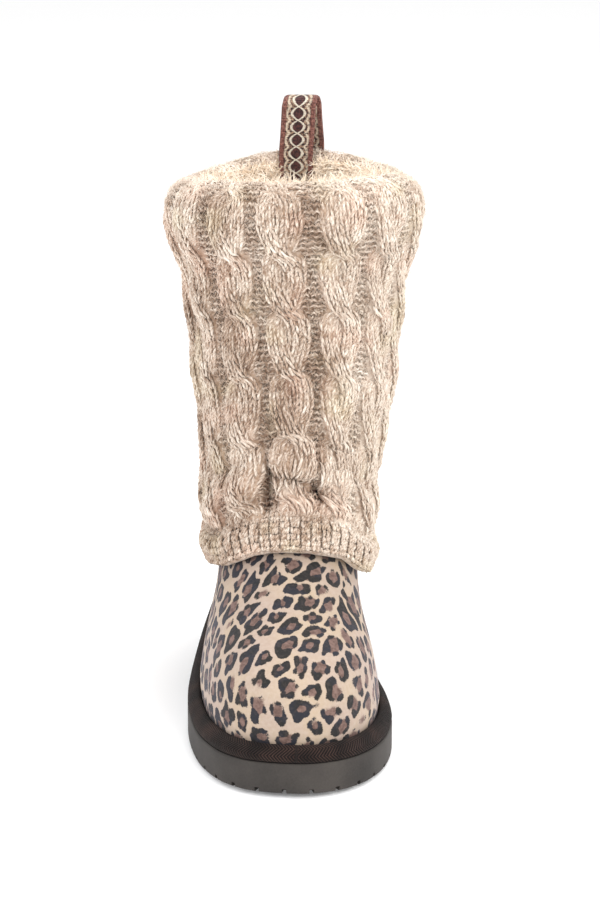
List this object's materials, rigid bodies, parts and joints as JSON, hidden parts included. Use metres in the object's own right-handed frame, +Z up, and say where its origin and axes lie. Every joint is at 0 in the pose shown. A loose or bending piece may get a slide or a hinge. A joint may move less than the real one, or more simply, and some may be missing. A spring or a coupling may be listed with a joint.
{
  "type": "mukluk boot",
  "caption": "Right mukluk boot with a leopard-print suede foot, a cable-knit cuff over the shaft, a tape-wrapped midsole, a flat rubber outsole and a pull loop at the back.",
  "frame": {"origin": "on the ground, under the centre of the boot's bounding box", "axes": "toe towards -Y, heel towards +Y, inner side of the foot towards +X, +Z up out of the collar"},
  "size_m": [0.141, 0.282, 0.323],
  "materials": {
    "rubber": "matte",
    "brown_tape": "woven twill",
    "printed_suede": "brushed nap with a printed leopard pattern",
    "cream_pile": "soft pile",
    "marled_yarn": "chunky marled cable knit",
    "woven_tape": "woven tape with a pale diamond chain"
  },
  "bodies": {
    "root": {"outsole": "rubber", "midsole": "brown_tape", "upper": "printed_suede", "insole": "cream_pile", "knit_cuff": "marled_yarn", "pull_loop": "woven_tape"}
  },
  "joints": []
}
